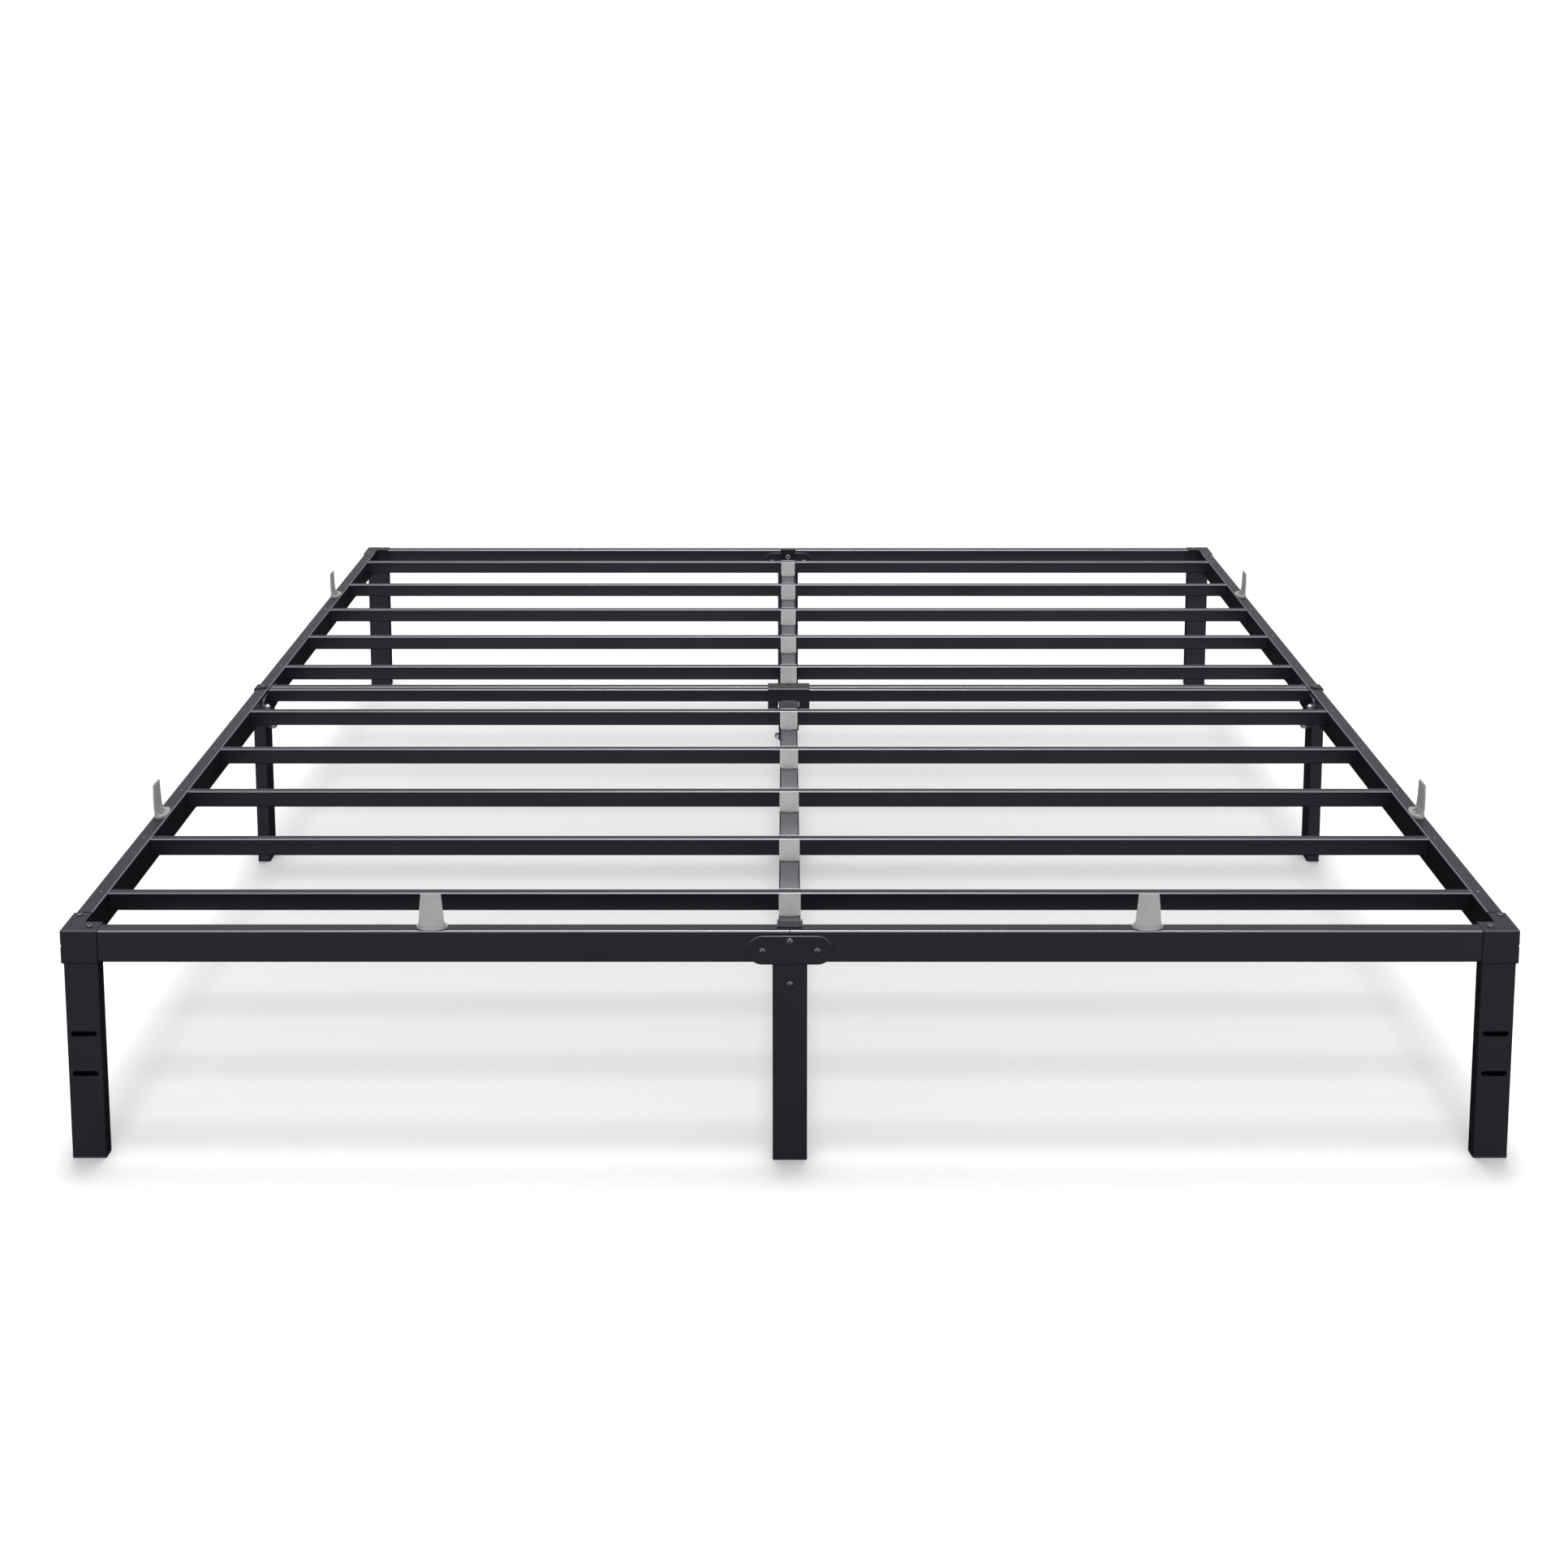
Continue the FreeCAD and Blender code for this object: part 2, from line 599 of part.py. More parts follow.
# --- Centre beam and what holds it --------------------------------------------------------------------
def crossbar_connector():
    """The gate-shaped saddle over both crossbars; each beam's end plate stands in one of its arches."""
    inner_y = crossbar_offset + crossbar_depth / 2 + fit_gap
    outer_y = inner_y + connector_thickness
    saddle = box((-connector_half_width, -outer_y, connector_bottom),
                 (connector_half_width, outer_y, top_height + connector_thickness))
    bends = [edge for edge in edges_along(saddle, X_AXIS) if edge.Vertexes[0].Z > top_height]
    saddle = saddle.makeFillet(connector_thickness * 0.8, bends)
    saddle = saddle.cut(box((-bed_width, -inner_y, 0), (bed_width, inner_y, top_height)))
    arch = box((-arch_half_width, -2 * outer_y, 0), (arch_half_width, 2 * outer_y, arch_top))
    arch = arch.makeFillet(arch_radius, [e for e in edges_along(arch, Y_AXIS) if e.Vertexes[0].Z > 1])
    return saddle.cut(arch).cut(top_hole(0, crossbar_offset, connector_hole_radius))


def beam_hook(rail_y, inward):
    """The channel on a beam's outer end: it stands on the rail bracket and its lip lies on the rail."""
    back = rail_y + inward * (rail_width / 2 + plate)
    front = back + inward * hook_thickness
    half = beam_width / 2 + hook_thickness
    low = beam_bottom + hook_foot
    lip_end = rail_y + inward * (rail_width / 2 - hook_lip)
    hook = box((-half, back, low), (half, front, top_height + hook_lip_thickness))
    hook = hook.fuse(box((-half, front, top_height), (half, lip_end, top_height + hook_lip_thickness)))
    for side in (-1, 1):
        hook = hook.fuse(box((side * beam_width / 2, front, low),
                             (side * half, front + inward * hook_flange, top_height - plate)))
    hook = hook.removeSplitter()
    return hook.cut(hole_through((0, back, hook_bolt_height), (0, 1, 0), bolt_hole_radius, rail_width))


def beam(rail_y, inward):
    """One half of the centre beam, with the end plate that stands in the connector's arch."""
    start = rail_y + inward * (rail_width / 2 + plate + hook_thickness)
    arch_y = -inward * (crossbar_offset + crossbar_depth / 2 + 2 * fit_gap)
    end = arch_y - inward * end_plate_thickness
    half_plate = beam_width / 2
    half = tube((-beam_width / 2, start, beam_bottom), (beam_width / 2, end, beam_top),
                Y_AXIS, beam_wall, rail_corner_radius)
    end_plate = box((-half_plate, end, beam_bottom), (half_plate, arch_y, end_plate_top))
    upper = [edge for edge in edges_along(end_plate, Y_AXIS) if edge.Vertexes[0].Z > beam_top]
    half = half.fuse(end_plate.makeFillet(end_plate_radius, upper)).removeSplitter()
    for y in slat_positions():
        if y * inward < 0:
            half = half.cut(hole_through((0, y, beam_top), (0, 0, 1), clip_peg_hole_radius, 2 * beam_wall))
    joint_bolt = (0, -inward * bracket_bolt_offset, plates_middle(beam_height, beam_bottom))
    return half.cut(hole_through(joint_bolt, (1, 0, 0), bolt_hole_radius, beam_width))


def clip_wall_outline(y, wall_bottom):
    """The front outline of a clip's wall: square above, its lower corners rounded, its lower edge curved."""
    flank = wall_bottom + clip_smile + clip_corner_radius
    turn = clip_half_width - clip_corner_radius
    slant = clip_corner_radius * math.sqrt(0.5)
    edges = []
    for side in (1, -1):
        corner = [Vec(side * clip_half_width, y, flank),
                  Vec(side * (turn + slant), y, flank - slant),
                  Vec(side * turn, y, wall_bottom + clip_smile)]
        edges.append(Part.LineSegment(Vec(side * clip_half_width, y, top_height), corner[0]))
        edges.append(Part.Arc(*corner))
    edges.append(Part.Arc(Vec(-turn, y, wall_bottom + clip_smile), Vec(0, y, wall_bottom),
                          Vec(turn, y, wall_bottom + clip_smile)))
    edges.append(Part.LineSegment(Vec(-clip_half_width, y, top_height), Vec(clip_half_width, y, top_height)))
    return Part.Wire(Part.__sortEdges__([edge.toShape() for edge in edges]))


def clip_wall_plan(near, far):
    """The plan of a clip's wall, flat inside and bulging outside, swept up past the wall's full height."""
    edge_y = far - math.copysign(clip_bulge, far - near)
    left_near, left_far = Vec(-clip_half_width, near, 0), Vec(-clip_half_width, edge_y, 0)
    right_near, right_far = Vec(clip_half_width, near, 0), Vec(clip_half_width, edge_y, 0)
    plan = Part.Wire([
        Part.LineSegment(left_far, left_near).toShape(),
        Part.LineSegment(left_near, right_near).toShape(),
        Part.LineSegment(right_near, right_far).toShape(),
        Part.Arc(right_far, Vec(0, far, 0), left_far).toShape(),
    ])
    return Part.Face(plan).extrude(Vec(0, 0, 2 * top_height))


def slat_clip(y):
    """The plastic cradle where two half slats meet: a peg snaps into the beam, a partition parts them."""
    slat_bottom = top_height - slat_height
    near = slat_depth / 2 + clip_gap
    far = near + clip_wall
    half_floor = clip_half_width - clip_floor_inset
    clip = box((-half_floor, y - near, beam_top), (half_floor, y + near, slat_bottom))
    for side in (-1, 1):
        front = Part.Face(clip_wall_outline(y + side * near - bed_width, beam_top + clip_lift))
        wall = front.extrude(Vec(0, 2 * bed_width, 0))
        clip = clip.fuse(wall.common(clip_wall_plan(y + side * near, y + side * far)))
    clip = clip.fuse(box((-clip_partition / 2, y - near, slat_bottom),
                         (clip_partition / 2, y + near, slat_bottom + clip_partition_height)))
    return clip.fuse(rod((0, y, beam_top), (0, 0, -1), clip_peg_radius, clip_peg_length)).removeSplitter()


def write_beam():
    save("crossbar_connector", [crossbar_connector()])
    save("center_beam_head", [beam(head_rail_y, 1)])
    save("center_beam_foot", [beam(foot_rail_y, -1)])
    save("beam_hooks", [beam_hook(head_rail_y, 1), beam_hook(foot_rail_y, -1)])
    save("slat_clips", [slat_clip(y) for y in slat_positions()])


# --- Mattress retainers and foot caps -----------------------------------------------------------------
def tongue_section(height, half_width_here, front, flank, back):
    """A level section of a retainer's tongue: its outer side bulges from the flanks to the front."""
    corners = [Vec(half_width_here, flank, height), Vec(half_width_here, back, height),
               Vec(-half_width_here, back, height), Vec(-half_width_here, flank, height)]
    edges = [Part.LineSegment(start, end).toShape() for start, end in zip(corners, corners[1:])]
    edges.append(Part.Arc(corners[3], Vec(0, front, height), corners[0]).toShape())
    return Part.Wire(edges)


def retainer():
    """A mattress retainer on a rail along X whose outer side is -Y; its underside is at z 0."""
    outer = -retainer_pad_half_depth
    plan = Part.Ellipse(ORIGIN, retainer_pad_half_length, retainer_pad_half_depth).toShape()
    pad = Part.Face(Part.Wire([plan])).extrude(Vec(0, 0, retainer_pad))
    # Height, half width, and how far front, flanks and back stand in from the pad's outer edge. The tongue
    # tapers upward and flares into the pad below, like a bell.
    sections = ((retainer_pad, 18.4, 0.6, 5.6, 9.0), (6.5, 17.6, 0.7, 4.6, 7.4), (10.0, 16.9, 0.8, 3.6, 6.0),
                (16.0, 16.2, 0.9, 2.8, 5.2), (24.0, 15.6, 1.0, 2.3, 4.8), (36.0, 14.6, 1.1, 2.0, 4.6),
                (retainer_height, 13.2, 1.2, 1.8, 4.4))
    tongue = Part.makeLoft([tongue_section(height, half, outer + front, outer + flank, outer + back)
                            for height, half, front, flank, back in sections], True)
    body = pad.fuse(tongue)
    back = outer + sections[-1][4]
    for x in (-retainer_rib_x, retainer_rib_x):
        rib = [(x, back, retainer_pad / 2), (x, -back, retainer_pad / 2), (x, -back, retainer_pad),
               (x, back, retainer_pad + retainer_rib_height)]
        body = body.fuse(prism(rib, (retainer_rib_thickness, 0, 0)))
    return body.fuse(rod((0, 0, 0), (0, 0, -1), retainer_peg_radius, retainer_peg_length)).removeSplitter()


def write_retainers():
    body = retainer()
    body.translate(Vec(0, 0, top_height))
    solids = [placed(body, 0.0, side * retainer_x, head_rail_y) for side in (-1, 1)]
    for side, turn in ((-1, -90.0), (1, 90.0)):
        for end in (-1, 1):
            solids.append(placed(body, turn, side * side_rail_middle, end * retainer_y))
    save("mattress_retainers", solids)


def foot_cap():
    """The plastic cap under a leg whose wide side is along X."""
    cap = rounded_bar((-leg_wide / 2, -leg_thin / 2, 0), (leg_wide / 2, leg_thin / 2, foot_flange),
                      Z_AXIS, rail_corner_radius)
    half_x = leg_wide / 2 - leg_wall - fit_gap / 2
    half_y = leg_thin / 2 - leg_wall - fit_gap / 2
    plug = tube((-half_x, -half_y, foot_flange), (half_x, half_y, foot_flange + foot_plug_height),
                Z_AXIS, foot_plug_wall, inner_tube_radius)
    return cap.fuse(plug)


def write_foot_caps():
    cap = foot_cap()
    caps = [placed(cap, 0.0, side * corner_leg_x, end * corner_leg_y) for side in (-1, 1) for end in (-1, 1)]
    under_bracket = cap.copy()
    under_bracket.translate(Vec(0, rail_bracket_leg_y, 0))
    caps += [placed(under_bracket, *where) for where in RAIL_BRACKETS.values()]
    caps.append(placed(cap, 90.0, 0.0, 0.0))
    save("foot_caps", caps)


# --- Fasteners ----------------------------------------------------------------------------------------
def top_screw(x, y, height):
    """A screw that is driven down into a rail or plug from above."""
    return button_screw((x, y, height), (0, 0, 1), screw_radius, screw_length,
                        screw_head_radius, screw_head_height)


def cross_bolt(x, y, height, length):
    """A bolt that is driven from the outer side of a bracket, in the bracket's own frame."""
    return button_screw((x, y, height), (0, -1, 0), bolt_radius, length, bolt_head_radius, bolt_head_height)


def write_fasteners():
    screws = []
    for x, y in corner_screw_places():
        screws += [top_screw(sx * x, sy * y, top_height) for sx in (-1, 1) for sy in (-1, 1)]
    screws += [top_screw(side * side_rail_middle, 0, top_height + strap_thickness) for side in (-1, 1)]
    save("top_screws", screws)

    outer = rail_width / 2 + plate
    bolt_height = plates_middle(rail_height, rail_bottom)
    bolts = []
    nuts = []
    for place, where in RAIL_BRACKETS.items():
        # Across and up from the bracket's middle, and what lies between the inner plate and the nut.
        spots = [(-bracket_bolt_offset, bolt_height, 0.0), (bracket_bolt_offset, bolt_height, 0.0),
                 (0.0, rail_bottom - channel_floor - leg_bolt_drop, 0.0)]
        if place in ("head", "foot"):
            spots.append((0.0, hook_bolt_height, hook_thickness))
        for x, height, packing in spots:
            bolts.append(placed(cross_bolt(x, -outer, height, bolt_length), *where))
            nuts.append(placed(lock_nut((x, outer + packing, height), (0, 1, 0)), *where))

    beam_outer = beam_width / 2 + plate
    leg_bolt_height = beam_bottom - channel_floor - leg_bolt_drop
    bolts.append(placed(cross_bolt(0, -leg_thin / 2, leg_bolt_height, bolt_length), 90.0, 0.0, 0.0))
    nuts.append(placed(lock_nut((0, beam_outer, leg_bolt_height), (0, 1, 0)), 90.0, 0.0, 0.0))
    beam_bolts = []
    joint_height = plates_middle(beam_height, beam_bottom)
    for side in (-1, 1):
        x = side * bracket_bolt_offset
        beam_bolts.append(placed(cross_bolt(x, -beam_outer, joint_height, beam_bolt_length), 90.0, 0.0, 0.0))
        nuts.append(placed(lock_nut((x, beam_outer, joint_height), (0, 1, 0)), 90.0, 0.0, 0.0))
    save("bracket_bolts", bolts)
    save("beam_joint_bolts", beam_bolts)
    save("lock_nuts", nuts)


os.makedirs("parts", exist_ok=True)
write_corners()
write_mid_supports()
write_rails()
write_slats()
write_crossbars()
write_beam()
write_retainers()
write_foot_caps()
write_fasteners()
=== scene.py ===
import json
import math

import bmesh
import bpy
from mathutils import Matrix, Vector


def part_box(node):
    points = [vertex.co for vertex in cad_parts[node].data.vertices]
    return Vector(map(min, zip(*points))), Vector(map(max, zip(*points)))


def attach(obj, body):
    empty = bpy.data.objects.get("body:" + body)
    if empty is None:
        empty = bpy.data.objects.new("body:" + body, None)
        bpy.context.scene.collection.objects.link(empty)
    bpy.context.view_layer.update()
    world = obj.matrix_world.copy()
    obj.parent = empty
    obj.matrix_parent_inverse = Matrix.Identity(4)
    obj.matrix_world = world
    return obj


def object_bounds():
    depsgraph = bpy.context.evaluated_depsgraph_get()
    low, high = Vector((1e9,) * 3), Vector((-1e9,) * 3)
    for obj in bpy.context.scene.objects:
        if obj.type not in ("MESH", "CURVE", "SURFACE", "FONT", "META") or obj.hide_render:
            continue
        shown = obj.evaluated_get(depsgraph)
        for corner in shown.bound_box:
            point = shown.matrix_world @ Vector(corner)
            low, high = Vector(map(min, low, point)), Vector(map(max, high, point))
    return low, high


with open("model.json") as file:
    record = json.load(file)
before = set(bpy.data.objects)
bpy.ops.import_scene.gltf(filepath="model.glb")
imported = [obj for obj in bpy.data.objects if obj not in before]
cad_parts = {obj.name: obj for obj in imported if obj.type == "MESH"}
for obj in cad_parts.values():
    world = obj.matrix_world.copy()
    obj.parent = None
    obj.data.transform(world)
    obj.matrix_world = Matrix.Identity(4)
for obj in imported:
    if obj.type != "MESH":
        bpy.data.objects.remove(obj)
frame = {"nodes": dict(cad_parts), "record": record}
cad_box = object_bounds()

# Looks of a metal platform bed frame. Metres, +Z up, the head end faces -Y.

nodes = frame["nodes"]
scene = bpy.context.scene

MILLIMETRE = 0.001
X_AXIS = Vector((1.0, 0.0, 0.0))
Y_AXIS = Vector((0.0, 1.0, 0.0))
Z_AXIS = Vector((0.0, 0.0, 1.0))


# --- Shader nodes -------------------------------------------------------------------------------------
NOISE_RANGE = (0.3, 0.7)              # where nearly all of a noise's values lie
BEVEL_SAMPLES = 6
SHARP_RANGE = (0.80, 0.995)           # cosine between the bevelled and the true normal: edge, flat face
ROUNDED_RANGE = (0.92, 0.985)         # largest part of the normal along one axis: rounded edge, flat face
UPWARD_RANGE = (0.05, 0.35)           # the normal's upward part: upright face, upward face


def color_sockets(sockets):
    """Only the colour sockets of a Mix node, which has one set of sockets for each kind of value."""
    return [socket for socket in sockets if socket.type == "RGBA"]


def scaled(color, factor):
    """A colour made darker or lighter, up to white."""
    return tuple(min(1.0, channel * factor) for channel in color)


class Shader:
    """A node-based material with a Principled shader, and short calls that add and join nodes."""

    def __init__(self, name):
        self.material = bpy.data.materials.new(name)
        self.material.use_nodes = True
        self.tree = self.material.node_tree
        self.surface = self.tree.nodes["Principled BSDF"]
        self.place = self.add("ShaderNodeTexCoord").outputs["Object"]

    def add(self, kind, **settings):
        node = self.tree.nodes.new(kind)
        for key, value in settings.items():
            setattr(node, key, value)
        return node

    def join(self, source, target):
        self.tree.links.new(source, target)

    def noise(self, scale, detail):
        """Soft noise over the object; the scale is in waves per metre."""
        node = self.add("ShaderNodeTexNoise")
        node.inputs["Scale"].default_value = scale
        node.inputs["Detail"].default_value = detail
        self.join(self.place, node.inputs["Vector"])
        return node.outputs["Fac"]

    def spread(self, value, low, high, from_low, from_high):
        """The value moved from one range to another, and held inside it."""
        node = self.add("ShaderNodeMapRange")
        node.inputs["From Min"].default_value = from_low
        node.inputs["From Max"].default_value = from_high
        node.inputs["To Min"].default_value = low
        node.inputs["To Max"].default_value = high
        self.join(value, node.inputs["Value"])
        return node.outputs["Result"]

    def mix_value(self, factor, value_a, value_b):
        """Two values mixed by a factor; the first is a number or a socket, the second a number."""
        node = self.add("ShaderNodeMix", data_type="FLOAT")
        self.join(factor, node.inputs["Factor"])
        if isinstance(value_a, float):
            node.inputs["A"].default_value = value_a
        else:
            self.join(value_a, node.inputs["A"])
        node.inputs["B"].default_value = value_b
        return node.outputs["Result"]

    def mix_color(self, factor, color_a, color_b):
        """Two colours mixed by a factor; the first is a colour or a socket, the second a colour."""
        node = self.add("ShaderNodeMix", data_type="RGBA")
        self.join(factor, node.inputs["Factor"])
        socket_a, socket_b = color_sockets(node.inputs)
        if isinstance(color_a, tuple):
            socket_a.default_value = (*color_a, 1.0)
        else:
            self.join(color_a, socket_a)
        socket_b.default_value = (*color_b, 1.0)
        return color_sockets(node.outputs)[0]

    def combine(self, operation, value_a, value_b):
        node = self.add("ShaderNodeMath", operation=operation)
        self.join(value_a, node.inputs[0])
        self.join(value_b, node.inputs[1])
        return node.outputs["Value"]

    def bump(self, height, distance, strength, normal=None):
        node = self.add("ShaderNodeBump")
        node.inputs["Distance"].default_value = distance
        node.inputs["Strength"].default_value = strength
        self.join(height, node.inputs["Height"])
        if normal is not None:
            self.join(normal, node.inputs["Normal"])
        return node.outputs["Normal"]

    def normal_parts(self):
        """The surface normal's parts along the three axes of the bed, by the axis's name."""
        split = self.add("ShaderNodeSeparateXYZ")
        self.join(self.place.node.outputs["Normal"], split.inputs[0])
        return split.outputs

    def sharp_edges(self, radius):
        """1 along sharp edges, 0 on flat faces: where a bevelled normal leaves the true one."""
        bevel = self.add("ShaderNodeBevel", samples=BEVEL_SAMPLES)
        bevel.inputs["Radius"].default_value = radius
        geometry = self.add("ShaderNodeNewGeometry")
        dot = self.add("ShaderNodeVectorMath", operation="DOT_PRODUCT")
        self.join(bevel.outputs["Normal"], dot.inputs[0])
        self.join(geometry.outputs["Normal"], dot.inputs[1])
        return self.spread(dot.outputs["Value"], 1.0, 0.0, *SHARP_RANGE)

    def rounded_edges(self):
        """1 on rounded edges of parts that lie square to the bed: where the normal leaves all three axes."""
        split = self.normal_parts()
        parts = []
        for axis in "XYZ":
            size = self.add("ShaderNodeMath", operation="ABSOLUTE")
            self.join(split[axis], size.inputs[0])
            parts.append(size.outputs["Value"])
        nearest = self.combine("MAXIMUM", self.combine("MAXIMUM", parts[0], parts[1]), parts[2])
        return self.spread(nearest, 1.0, 0.0, *ROUNDED_RANGE)

    def upward(self):
        """0 where the surface faces down or sideways, 1 where it faces up."""
        return self.spread(self.normal_parts()["Z"], 0.0, 1.0, *UPWARD_RANGE)


# --- Materials ----------------------------------------------------------------------------------------
COAT_IOR = 1.5
COAT_TINT = (0.94, 0.95, 1.10)        # of its reflections, a little blue
COAT_EDGE_REACH = 0.9 * MILLIMETRE
EDGE_HIGHLIGHT_GREY = (0.030, 0.031, 0.035)     # painted highlight on upward-facing edges, lighter than the coat
EDGE_GLOSS = 1.0
EDGE_ROUGHNESS = 0.30
PLASTIC_EDGE_REACH = 0.8 * MILLIMETRE
BLACK = (0.0060, 0.0061, 0.0080)


def powder_coat(name, color, roughness, gloss, edge_ior):
    """Fine-textured powder coat: orange-peel bump, cloudy gloss, and a painted highlight along its
    upward-facing edges, which are lighter and glossier.
    """
    shader = Shader(name)
    cloud = shader.noise(9.0, 3.0)
    peel = shader.noise(1400.0, 2.0)
    grain = shader.noise(5200.0, 1.0)
    clouded = shader.spread(cloud, 0.0, 1.0, *NOISE_RANGE)
    tint = shader.mix_color(clouded, scaled(color, 0.86), scaled(color, 1.14))
    # Painted highlight: upward-facing edges get a lighter, glossier coat that stands in for the light they
    # catch.
    highlight_edges = shader.combine("MAXIMUM", shader.sharp_edges(COAT_EDGE_REACH), shader.rounded_edges())
    painted_highlight = shader.combine("MULTIPLY", highlight_edges, shader.upward())
    rough = shader.spread(cloud, *roughness, *NOISE_RANGE)
    surface = shader.surface.inputs
    shader.join(shader.mix_color(painted_highlight, tint, EDGE_HIGHLIGHT_GREY), surface["Base Color"])
    shader.join(shader.mix_value(painted_highlight, rough, EDGE_ROUGHNESS), surface["Roughness"])
    shader.join(shader.mix_value(painted_highlight, gloss, EDGE_GLOSS), surface["Specular IOR Level"])
    shader.join(shader.mix_value(painted_highlight, COAT_IOR, edge_ior), surface["IOR"])
    surface["Specular Tint"].default_value = (*COAT_TINT, 1.0)
    peel_normal = shader.bump(peel, 0.10 * MILLIMETRE, 0.35)
    shader.join(shader.bump(grain, 0.04 * MILLIMETRE, 0.35, peel_normal), surface["Normal"])
    return shader.material


def moulded_plastic(name, color, roughness, grain_scale):
    """Injection-moulded plastic: a spark-eroded grain, slight flow clouds, and a painted highlight that
    makes its sharp edges a little paler.
    """
    shader = Shader(name)
    cloud = shader.noise(40.0, 2.0)
    grain = shader.noise(grain_scale, 2.0)
    clouded = shader.spread(cloud, 0.0, 1.0, *NOISE_RANGE)
    tint = shader.mix_color(clouded, scaled(color, 0.95), scaled(color, 1.05))
    highlight_edges = shader.sharp_edges(PLASTIC_EDGE_REACH)
    surface = shader.surface.inputs
    # Painted highlight: the sharp edges take a paler colour.
    shader.join(shader.mix_color(highlight_edges, tint, scaled(color, 1.12)), surface["Base Color"])
    shader.join(shader.spread(grain, *roughness, *NOISE_RANGE), surface["Roughness"])
    shader.join(shader.bump(grain, 0.06 * MILLIMETRE, 0.4), surface["Normal"])
    return shader.material


def zinc_plate(name, color, roughness, metallic):
    """Plated steel: a finely scratched metal surface with smudged roughness."""
    shader = Shader(name)
    cloud = shader.noise(160.0, 3.0)
    scratch = shader.noise(2600.0, 2.0)
    clouded = shader.spread(cloud, 0.0, 1.0, *NOISE_RANGE)
    surface = shader.surface.inputs
    shader.join(shader.mix_color(clouded, scaled(color, 0.85), color), surface["Base Color"])
    shader.join(shader.spread(cloud, *roughness, *NOISE_RANGE), surface["Roughness"])
    surface["Metallic"].default_value = metallic
    shader.join(shader.bump(scratch, 0.03 * MILLIMETRE, 0.4), surface["Normal"])
    return shader.material


MATERIALS = {
    "rail_paint": powder_coat("rail_powder_coat", BLACK, roughness=(0.38, 0.46), gloss=0.36, edge_ior=2.0),
    "slat_paint": powder_coat("slat_powder_coat", BLACK, roughness=(0.36, 0.44), gloss=0.36, edge_ior=1.9),
    "beam_paint": powder_coat("beam_powder_coat", (0.085, 0.089, 0.097), roughness=(0.26, 0.34), gloss=1.0,
                              edge_ior=1.5),
    "leg_paint": powder_coat("leg_powder_coat", BLACK, roughness=(0.42, 0.50), gloss=0.36, edge_ior=1.6),
    "bracket_paint": powder_coat("bracket_powder_coat", BLACK, roughness=(0.42, 0.50), gloss=0.36,
                                 edge_ior=1.6),
    "clip_plastic": moulded_plastic("clip_grey_plastic", (0.53, 0.525, 0.511), roughness=(0.42, 0.55),
                                    grain_scale=1900.0),
    "retainer_plastic": moulded_plastic("retainer_grey_plastic", (0.325, 0.322, 0.313),
                                        roughness=(0.40, 0.52), grain_scale=1700.0),
    "foot_plastic": moulded_plastic("foot_black_plastic", (0.022, 0.022, 0.023), roughness=(0.45, 0.60),
                                    grain_scale=1500.0),
    "black_fasteners": zinc_plate("black_zinc", (0.15, 0.15, 0.155), roughness=(0.18, 0.28), metallic=0.9),
    "zinc_nuts": zinc_plate("bright_zinc", (0.55, 0.55, 0.56), roughness=(0.25, 0.42), metallic=1.0),
}


def finish_cad_nodes():
    """Every carried-over CAD node takes the finished material of its slot."""
    for entry in frame["record"]["subparts"]:
        node = nodes[entry["node"]]
        node.data.materials.clear()
        node.data.materials.append(MATERIALS[entry["material_slot"]])


finish_cad_nodes()


# --- Pieces made of bands -----------------------------------------------------------------------------
def add_band(points, faces, sections):
    """Adds a skin that closes both ways, like a ring's: closed sections, the last joined to the first."""
    start = len(points)
    count = len(sections[0])
    for section in sections:
        points.extend(section)
    for row in range(len(sections)):
        this_row = start + row * count
        next_row = start + (row + 1) % len(sections) * count
        for column in range(count):
            beside = (column + 1) % count
            faces.append((this_row + column, this_row + beside, next_row + beside, next_row + column))


def fine_piece(name, bands, slot):
    """One mesh of several bands, in the finish of a slot, fixed to the frame."""
    points = []
    faces = []
    for sections in bands:
        add_band(points, faces, sections)
    mesh = bpy.data.meshes.new(name)
    mesh.from_pydata(points, [], faces)
    skin = bmesh.new()
    skin.from_mesh(mesh)
    bmesh.ops.recalc_face_normals(skin, faces=skin.faces)
    skin.to_mesh(mesh)
    skin.free()
    mesh.shade_smooth()
    mesh.materials.append(MATERIALS[slot])
    piece = bpy.data.objects.new(name, mesh)
    scene.collection.objects.link(piece)
    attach(piece, "root")


# --- Weld beads ---------------------------------------------------------------------------------------
BEAD_RADIUS = 1.1 * MILLIMETRE
BEAD_STEP = 0.4 * MILLIMETRE          # along the bead, from one section to the next
BEAD_PITCH = 1.8 * MILLIMETRE         # from one ripple to the next
BEAD_RIPPLE = 0.16                    # how much the bead swells and thins, of its radius
BEAD_SIDES = 8
TUBE_CORNER = 2.6 * MILLIMETRE        # outer corner radius of the leg and beam tubes
BEAM_SIZE = 30.0 * MILLIMETRE         # the beam's tube is as wide as it is high
END_PLATE_THICKNESS = 1.8 * MILLIMETRE
QUARTER_TURN = math.pi / 2
FULL_TURN = 2 * math.pi


